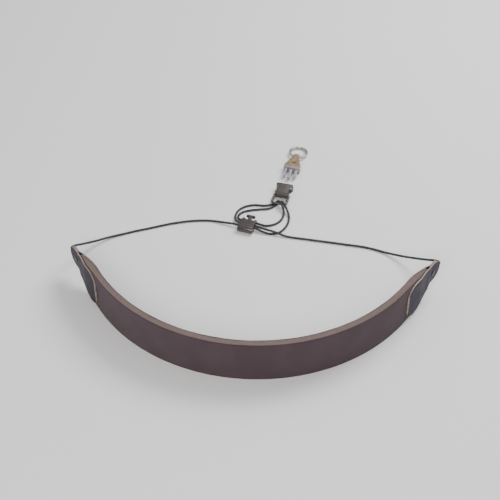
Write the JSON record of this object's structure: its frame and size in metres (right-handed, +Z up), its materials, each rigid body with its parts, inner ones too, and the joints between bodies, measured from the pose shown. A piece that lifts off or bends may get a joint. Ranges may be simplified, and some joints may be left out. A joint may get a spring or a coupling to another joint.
{
  "type": "instrument neck strap",
  "caption": "Padded neck strap for a saxophone: a curved neoprene band with leather end tabs, a thin cord with a spring lock, and a side-release buckle with a split ring.",
  "frame": {"origin": "On the table plane that the strap stands and lies on, on the band's plane of symmetry in X, 5.8 mm in front of the centre of the band's bend.", "axes": "+Z up from the table. X runs from the left tab to the right tab. +Y points out of the band's open side, towards the buckle."},
  "size_m": [0.2983, 0.2758, 0.038],
  "materials": {
    "foam": "cut edge of closed-cell foam rubber, matt",
    "knit": "fine stretch knit, matt",
    "tab_leather": "smooth, slightly waxy, pale raw edges",
    "rivet_metal": "dark, worn",
    "thread": "waxed polyester thread",
    "cord": "fine braid, dull",
    "lock_plastic": "moulded, glossy",
    "socket_plastic": "moulded, glossy",
    "plug_plastic": "moulded, light grey, satin",
    "steel": "nickel plated, bright"
  },
  "bodies": {
    "root": {"foam_core": "foam", "outer_jersey": "knit", "inner_jersey": "knit", "left_outer_leaf": "tab_leather", "left_inner_leaf": "tab_leather", "right_outer_leaf": "tab_leather", "right_inner_leaf": "tab_leather", "left_rivet": "rivet_metal", "left_rivet_cap": "rivet_metal", "right_rivet": "rivet_metal", "right_rivet_cap": "rivet_metal", "left_stitches": "thread", "right_stitches": "thread", "cord": "cord", "lock_body": "lock_plastic", "lock_spring": "steel"},
    "plunger": {"lock_plunger": "lock_plastic"},
    "socket": {"buckle_socket": "socket_plastic"},
    "plug": {"buckle_plug": "plug_plastic"},
    "ring": {"split_ring": "steel"}
  },
  "joints": [
    {"name": "plunger_press", "type": "slide", "parent": "root", "child": "plunger", "axis": [-0.2588, -0.9659, 0], "range_m": [0, 0.0018], "stiffness_N_per_m": 900, "springref_m": -0.002, "deforming": ["lock_spring"]},
    {"name": "socket_swing", "type": "hinge", "parent": "root", "child": "socket", "pos_m": [0.0168, 0.0559, 0.0032], "axis": [0.9781, -0.2079, 0], "range_deg": [0, 75]},
    {"name": "plug_slide", "type": "slide", "parent": "root", "child": "plug", "axis": [0.2079, 0.9781, 0], "range_m": [-0.0228, 0.006]},
    {"name": "ring_swing", "type": "hinge", "parent": "plug", "child": "ring", "pos_m": [0.03052, 0.12046, 0.003], "axis": [0.9781, -0.2079, 0], "range_deg": [-100, 110]}
  ]
}
